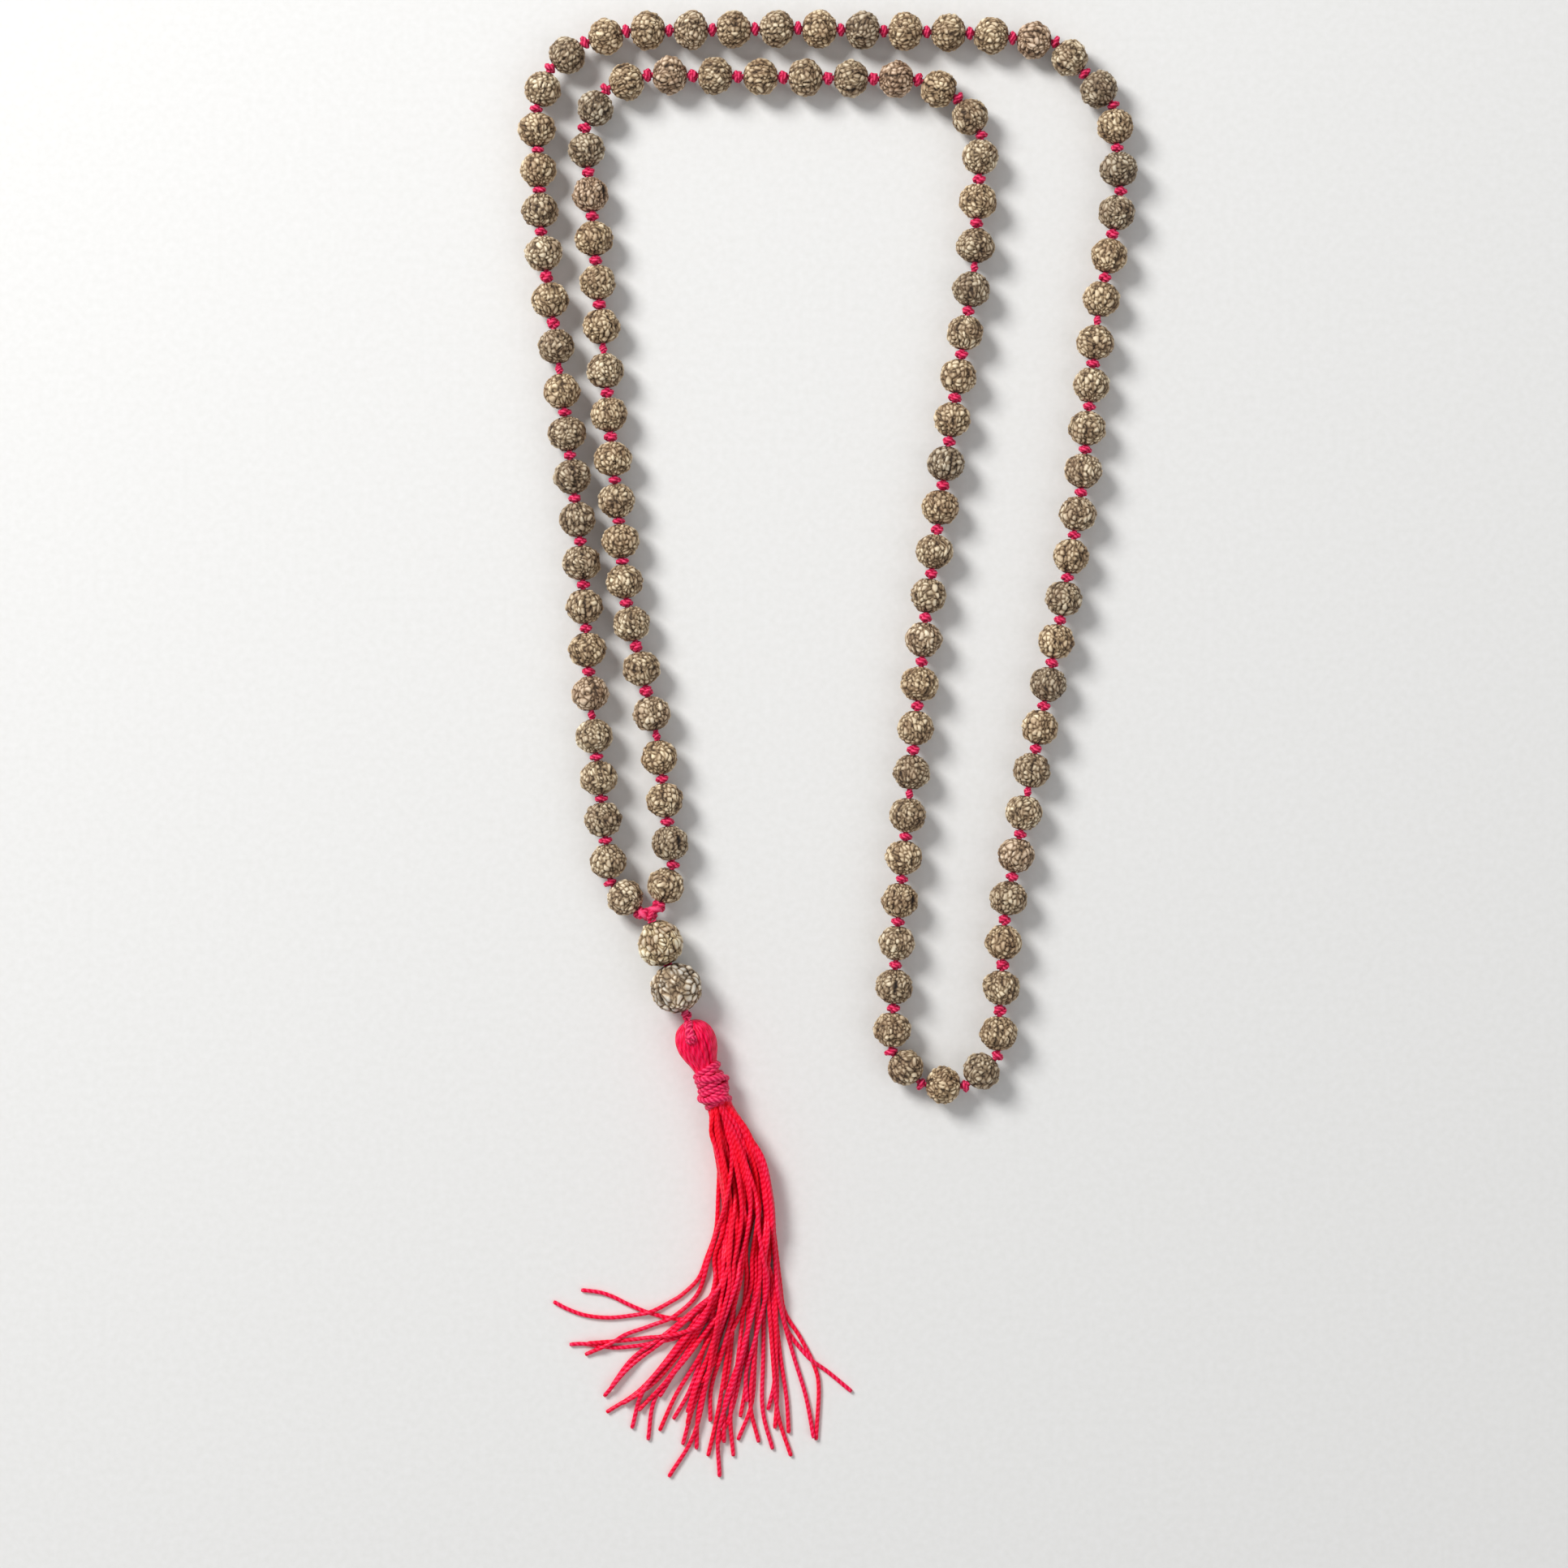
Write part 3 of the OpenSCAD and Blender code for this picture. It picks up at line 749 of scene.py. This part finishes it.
# The tassel's head: threads folded over the loop, combed down smooth into the neck.
headSettings = {
    "threads": 34,
    "tube": {"diameter": 0.95 * mm, "sides": 8, "plies": 2, "lay": 4.5 * mm, "depth": 0.07},
    "step": 0.42 * mm,
    "uneven": 0.22,  # of a thread's share of the way round
    "lean": 0.12,
    "belly": 6,  # where a leaning thread crosses its own place, from the pivot in mm
    "sink": (-0.12, 0.1),
    "tints": (0.2, 0.95),
    "profile": [  # distance from the pivot and radius of the threads' middles, in mm
        (1.75, 0.3), (2.0, 1.5), (2.7, 2.6), (3.8, 3.4), (5.4, 3.85), (7.2, 3.8), (8.8, 3.35), (10.2, 2.75),
        (11.6, 2.25), (13.2, 2.05), (20.5, 2.2),
    ],
    "core": [2.3, 4, 6, 8.5, 11, 20.5],  # the threads inside, as one filling
    "coreTube": {"diameter": 8 * mm, "sides": 20, "plies": 1, "lay": 1.0, "depth": 0.0},
    "coreStep": 0.5 * mm,
    "coreTint": 0.2,
}


def addHead(settings):
    source = random.Random(5)
    profile = np.array(settings["profile"])
    parts = []
    for i in range(settings["threads"]):
        uneven = source.uniform(-settings["uneven"], settings["uneven"])
        turn = 2 * math.pi * (i + uneven) / settings["threads"]
        lean = source.uniform(-settings["lean"], settings["lean"])
        sink = source.uniform(*settings["sink"])
        points = []
        for along, reach in profile:
            angle = turn + lean * (along - settings["belly"]) / settings["belly"]
            points.append(onTassel(along, (reach + sink) * math.cos(angle), (reach + sink) * math.sin(angle)))
        path = resampled(points, settings["step"])
        tube = twistedTube(path, phase=source.uniform(0, 3), **settings["tube"])
        parts.append(tube + (source.uniform(*settings["tints"]),))
    core = resampled([onTassel(along) for along in settings["core"]], settings["coreStep"])
    along = (core - onTassel(0)) @ hang / mm
    shape = np.interp(along, profile[:, 0], profile[:, 1]) * 2 * mm / settings["coreTube"]["diameter"]
    parts.append(twistedTube(core, taper=shape, **settings["coreTube"]) + (settings["coreTint"],))
    node = "tassel_head"
    addPiece("tassel_head_threads", parts, headThread, bodyOf[node], node)


bindingSettings = {  # lengths in mm, from the pivot
    "turns": 7,
    "steps": 24,  # points in each turn
    "from": 11.4,
    "pitch": 1.36,
    "ring": 2.5,
    "swell": 0.3,  # how much wider the middle turns are
    "ride": 0.14,  # how far turns climb on each other
    "leans": (-0.1, 1.0),
    "lastLeans": [0.25, 0.2],
    "returning": 36,  # points of the end that comes back over the turns
    "returnRun": 4.6,
    "returnRise": 0.95,
    "tuck": 7,
    "tube": {"diameter": 1.4 * mm, "sides": 12, "plies": 3, "lay": 3.0 * mm, "depth": 0.25},
    "step": 0.4 * mm,
    "tint": 0.55,
}


def addBinding(settings):
    # One thread wound side by side, its turns leaning and riding up on each other a little.
    source = random.Random(8)
    points = []
    wound = settings["turns"]
    leans = [source.uniform(*settings["leans"]) for _ in range(wound)] + settings["lastLeans"]
    for i in range(wound * settings["steps"] + 1):
        turns = i / settings["steps"]
        angle = 2 * math.pi * turns
        along = settings["from"] + settings["pitch"] * (turns * (wound - 1) / wound + 0.5)
        along -= np.interp(turns, range(len(leans)), leans) * math.cos(angle)
        reach = settings["ring"] + settings["swell"] * math.sin(math.pi * turns / wound)
        reach += settings["ride"] * math.sin(2.3 * angle)
        points.append(onTassel(along, reach * math.cos(angle), reach * math.sin(angle)))
    back, tuck = settings["returning"], settings["tuck"]
    for i in range(1, back + 1):  # the thread's end comes back over the turns and tucks in under them
        turns = i / settings["steps"]
        angle = 2 * math.pi * turns
        along = settings["from"] + settings["pitch"] * (wound - 0.5) - settings["returnRun"] * turns
        lift = smooth(0, tuck, i) * (1 - smooth(back - tuck, back, i))
        reach = settings["ring"] + settings["returnRise"] * lift
        points.append(onTassel(along, reach * math.cos(angle), reach * math.sin(angle)))
    tube = twistedTube(resampled(points, settings["step"]), **settings["tube"])
    node, parts = "tassel_binding", [tube + (settings["tint"],)]
    addPiece("tassel_binding_thread", parts, bindingThread, bodyOf[node], node)


loopSettings = {  # lengths in mm, from the pivot
    "from": 0.9,
    "run": 4.0,
    "points": 20,
    "twist": 3.6,  # length of one turn of the two strands
    "apart": 0.5,
    "overHead": 1.15,
    "tube": {"diameter": 1.15 * mm, "sides": 10, "plies": 2, "lay": 2.4 * mm, "depth": 0.22},
    "step": 0.3 * mm,
    "tint": 0.7,
    "knotAt": 5.0,
    "knot": {"wide": 2.2 * mm, "long": 2.6 * mm, "strand": 1.05 * mm, "seed": 31, "tint": 0.8},
}


def addTasselLoop(settings):
    # Two strands twisted together run from the stop knot over the front of the head and end in a tight knot.
    profile = np.array(headSettings["profile"])
    parts = []
    for turn in (0.0, math.pi):
        points = []
        for i in range(settings["points"] + 1):
            along = settings["from"] + settings["run"] * i / settings["points"]
            reach = np.interp(along, profile[:, 0], profile[:, 1]) + settings["overHead"]
            lift = max(reach, 1.9 - 0.1 * along)  # above the stop knot before the head begins
            angle = turn + 2 * math.pi * (along / settings["twist"])
            side = -0.12 * along + settings["apart"] * math.cos(angle)
            points.append(onTassel(along, side, lift + 0.3 * math.sin(angle)))
        path = resampled(points, settings["step"])
        parts.append(twistedTube(path, phase=turn, **settings["tube"]) + (settings["tint"],))
    end = settings["knotAt"]
    middle = onTassel(end, -0.12 * end, np.interp(end, profile[:, 0], profile[:, 1]) + 0.8)
    parts.append(knotAt(middle, across, **settings["knot"]))
    node = "tassel_loop"
    addPiece("tassel_loop_cord", parts, bindingThread, bodyOf[node], node)


addHead(headSettings)
addBinding(bindingSettings)
addTasselLoop(loopSettings)
print("tassel tied")


# The skirt: limp threads that leave the binding in a round bundle, settle on the surface and stray.
skirtSettings = {  # lengths without mm are in millimetres, from the pivot
    "tube": {"diameter": 1.0 * mm, "sides": 8, "plies": 2, "lay": 2.4 * mm, "depth": 0.14},
    "step": 0.45 * mm,
    "tip": 0.75,  # how much of its width a cut end keeps
    "mouth": 20.2,  # where the threads leave the binding
    "mouthRadius": 2.35,
    "straight": 1.5,
    "fanLean": 0.25,  # slant of the lines that put the free ends in order from left to right
    "mix": 0.3,  # how far a thread strays from its place in the fan, and in the bundle above it
    "crossing": 0.75,
    "jitter": 0.05,
    "sway": 0.07,  # sideways bend of a free end, as a share of its length
    "nestle": 0.82,  # how high a thread lies over another, as a share of its width
    "highest": 5.2,
    "soften": 9,  # points over which a thread's height is evened out
    "sag": 0.25,
    "comeDown": 17,  # length over which the threads come down from the binding
    "redness": (0.55, 1.0),  # at the binding, fading by the last figure towards the free ends
    "fading": (0.3, 0.75),
    "fade": 0.55,
    "strayFirst": 4,  # strays laid under the others
}
# The middle and half width of the bundle on its way down, in mm from the loop's middle.
bundle = [
    (-20.9, -83.5, 3.7),
    (-18.7, -91, 5.0),
    (-17.4, -99.5, 5.7),
    (-17.5, -105.5, 6.1),
    (-18.1, -111.5, 6.9),
    (-18.6, -118, 7.9),
]
# Where threads that stay in the fan end.
freeEnds = [
    (-48, -142), (-47.5, -145.5), (-46.5, -140), (-42, -149), (-40.5, -145), (-36, -142), (-36, -149.5),
    (-34, -159.5), (-30, -145.5), (-30, -148), (-28, -153.5), (-25, -147.5), (-23.5, -152.5), (-23, -159.5),
    (-22, -140.5), (-22, -152), (-20, -155), (-19, -151.5), (-18.5, -146.5), (-14.5, -152), (-11.5, -153.5),
    (-11, -149), (-8, -150), (-7.5, -155), (-27, -139), (-17, -143), (-33, -147), (-25.5, -155),
    (-12.5, -145), (-38.5, -151.5), (-44, -143.5), (-31, -152.5),
]
# The ways of threads that leave it, each from where it parts from the others.
strayRoutes = [
    [
        (-23.8, -106), (-25.8, -112), (-27.6, -116.5), (-31, -119.9), (-33.5, -121.5), (-37.5, -123.5),
        (-42, -124.5), (-47, -125), (-52, -124.5), (-56, -123.1), (-59, -121.5),
    ],
    [
        (-20.9, -117.3), (-24.4, -123), (-28.9, -125.3), (-33.5, -125.1), (-37, -124.3), (-39.5, -123.5),
        (-43, -122), (-46, -120.5), (-49, -119.5), (-53, -119),
    ],
    [
        (-23.2, -120.2), (-26.1, -125.9), (-31.2, -129), (-37.5, -130.5), (-41, -131.1), (-46, -131.5),
        (-52, -130.7), (-55.5, -130.8),
    ],
    [(-10, -119.5), (-9, -125.5), (-7.5, -129), (-3.7, -133.5), (0.8, -137), (5.6, -141)],
    [(-10.5, -118), (-9.2, -125), (-6.9, -133.4), (-4.3, -142), (-2.6, -151)],
    [(-10, -116.5), (-8.9, -123.6), (-5.5, -129.3), (-2.6, -135.1), (-1.5, -140.2), (-2.1, -151.5)],
    [
        (-25.3, -112), (-27.6, -119.5), (-32.4, -124.3), (-38.1, -126.8), (-43.3, -128.6), (-46.7, -130.5),
        (-52.1, -133),
    ],
    [(-24, -117), (-26.6, -125), (-31.2, -128), (-38.1, -129.2), (-44.4, -130), (-51.6, -130.4)],
]
leftStrays, rightStrays = (0, 1, 2), (3,)  # the routes that stand for the strays' own solids


def threadWay(settings, start, end, stray, place, source):
    # A thread's way seen from above: out of the mouth, down the bundle, then to its free end.
    last = len(bundle) if stray is None else sum(1 for row in bundle if row[1] > stray[0][1] + 5)
    high, part = place
    if stray:  # heads for the place where it leaves the others
        part = (stray[0][0] - bundle[last - 1][0]) / bundle[last - 1][2]
    part = max(-1.0, min(1.0, part))
    straight = hang[:2] * settings["straight"]
    points = [start[:2] - straight, start[:2] + straight]
    for k, (middle, height, half) in enumerate(bundle[:last]):
        jitter = source.uniform(-settings["jitter"], settings["jitter"])
        where = high + (part - high) * k / (last - 1) + jitter
        points.append((middle + half * where, height + source.uniform(-1, 1)))
    if stray:
        return points + list(stray)
    here = np.array(points[-1])
    run = np.array(end) - here
    off = np.array([-run[1], run[0]]) / np.linalg.norm(run)
    sway = source.uniform(-1.0, 1.0) * settings["sway"] * np.linalg.norm(run)
    lag = np.array([0.42 * run[0], 0.46 * run[1]])  # falls before it spreads
    return points + [tuple(here + lag + off * sway * 0.6), tuple(here + run * 0.76 + off * sway), end]


def restingHeight(settings, flat, run, start, laid):
    # A thread's height along its way: down from the mouth onto the surface, or onto threads laid before.
    width = settings["tube"]["diameter"] / mm
    rest = np.full(len(flat), width / 2)
    if len(laid):
        gap = np.hypot(flat[:, None, 0] - laid[None, :, 0], flat[:, None, 1] - laid[None, :, 1])
        above = laid[None, :, 2] + settings["nestle"] * np.sqrt(np.maximum(width**2 - gap**2, 0))
        rest = np.maximum(rest, np.where(gap < width, above, 0).max(axis=1))
    rest = np.minimum(rest, settings["highest"])
    reach = settings["soften"]
    spread = np.exp(-((np.arange(-reach, reach + 1) / (reach / 2)) ** 2))
    soft = np.convolve(np.pad(rest, reach, mode="edge"), spread / spread.sum(), mode="valid")
    soft = np.maximum(soft, np.minimum(rest, soft + settings["sag"]))
    leave = smooth(0, settings["comeDown"], run)
    return np.maximum(start * (1 - leave) + soft * leave, width / 2)


def layThreads(settings):
    # Lays one thread after another. Returns the number of each one's route and the line that it follows.
    source = random.Random(14)
    mouth = onTassel(settings["mouth"]) / mm
    routes = [(stray[-1], stray) for stray in strayRoutes] + [(end, None) for end in freeEnds]
    ends = [route[0] for route in routes]
    fan = sorted(range(len(ends)), key=lambda i: ends[i][0] - settings["fanLean"] * ends[i][1])
    share = {index: (rank + 0.5) / len(ends) * 2 - 1 for rank, index in enumerate(fan)}
    order = list(range(len(routes)))
    source.shuffle(order)
    straying = [i for i in order if routes[i][1]]
    under = settings["strayFirst"]
    order = straying[:under] + [i for i in order if not routes[i][1]] + straying[under:]
    laid, threads = np.zeros((0, 3)), []
    for index in order:
        part = share[index] + source.uniform(-settings["mix"], settings["mix"])
        high = share[index] + source.uniform(-settings["crossing"], settings["crossing"])
        high = max(-1.0, min(1.0, high))  # differs from part, so that threads cross on the way
        rise = source.uniform(-1, 1)
        startSide = settings["mouthRadius"] * math.sqrt(1 - rise * rise) * high
        start = mouth + across * startSide + up * settings["mouthRadius"] * rise
        points = threadWay(settings, start, *routes[index], (high, part), source)
        flat = resampled([(x, y, 0) for x, y in points], 0.5)
        run = np.concatenate([[0], np.cumsum(np.linalg.norm(np.diff(flat, axis=0), axis=1))])
        flat[:, 2] = restingHeight(settings, flat, run, start[2], laid)
        laid = np.vstack([laid, flat[run > 3]])
        threads.append((index, flat * mm))
    return threads


def addThread(settings, index, line, source):
    path = evenly(line, settings["step"])
    taper = np.ones(len(path))
    taper[-1] = settings["tip"]
    tube = twistedTube(path, phase=source.uniform(0, 3), taper=taper, **settings["tube"])
    node = "tassel_skirt"
    if index in leftStrays:
        node = "tassel_threads_left"
    elif index in rightStrays:
        node = "tassel_threads_right"
    fading = smooth(*settings["fading"], np.linspace(0, 1, len(path)))
    redness = source.uniform(*settings["redness"]) - settings["fade"] * fading
    parts = [tube + (np.repeat(redness, settings["tube"]["sides"]),)]
    name = "skirt_thread_%02d" % (index + 1)
    piece = addPiece(name, parts, skirtThread, "tassel", node)


threads = layThreads(skirtSettings)
threadSource = random.Random(3)
for index, line in threads:
    addThread(skirtSettings, index, line, threadSource)
print("skirt laid:", len(threads), "threads")


# Studio: a plain pale surface, one broad light from the upper left and gentle fill.
studioSettings = {
    "floorHalf": 3.0,
    "floorRoughness": 0.85,
    "floorStops": [(0.2, "#e3e2df"), (0.8, "#e9e8e6")],
    "below": 0.02 * mm,  # keeps the floor clear of what lies on it
    "key": {"place": (-0.75, 0.7, 0.95), "size": 0.5, "power": 18.0},
    "fill": {"place": (0.9, -0.5, 1.1), "size": 1.2, "power": 4.0},
    "sky": "#eef0f3",
    "skyStrength": 0.4,
}


def addLight(name, place, size, power):
    # A square light that faces the middle of the floor.
    data = bpy.data.lights.new(name, "AREA")
    data.size = size
    data.energy = power
    light = bpy.data.objects.new(name, data)
    light.location = place
    light.rotation_euler = (-Vector(place)).to_track_quat("-Z", "Y").to_euler()
    bpy.context.scene.collection.objects.link(light)


def addStudio(settings):
    mesh = bpy.data.meshes.new("paleFloor")
    half = settings["floorHalf"]
    corners = [(-half, -half, 0), (half, -half, 0), (half, half, 0), (-half, half, 0)]
    mesh.from_pydata(corners, [], [(0, 1, 2, 3)])
    floor = bpy.data.objects.new("paleFloor", mesh)
    floor.location.z = cadBox[0][2] - settings["below"]
    bpy.context.scene.collection.objects.link(floor)
    # Pressed card: matt and even, with a fine tooth that scatters the light without a shine.
    finish = {"Roughness": settings["floorRoughness"], "IOR": 1.5}
    material, tree, shader = newMaterial("mattPaleCard", finish)
    place = addNode(tree, "ShaderNodeTexCoord").outputs["Object"]
    # Real tooth is about 0.1 mm, drawn as 1.5 mm so that it shows.
    tooth = addNode(tree, "ShaderNodeTexNoise", {"Vector": place, "Scale": 1 / (1.5 * mm), "Detail": 3.0})
    tone = addNode(tree, "ShaderNodeValToRGB", {"Fac": tooth.outputs["Fac"]}, stops=settings["floorStops"])
    tree.links.new(tone.outputs["Color"], shader.inputs["Base Color"])
    mesh.materials.append(material)
    addLight("keyLight", **settings["key"])
    addLight("fillLight", **settings["fill"])
    world = bpy.data.worlds.new("softSky")
    bpy.context.scene.world = world
    world.use_nodes = True
    background = world.node_tree.nodes["Background"]
    background.inputs["Color"].default_value = linear(settings["sky"])
    background.inputs["Strength"].default_value = settings["skyStrength"]
    bpy.context.scene.view_settings.view_transform = "Standard"  # keeps the dyed reds saturated


addStudio(studioSettings)
print("studio lit")
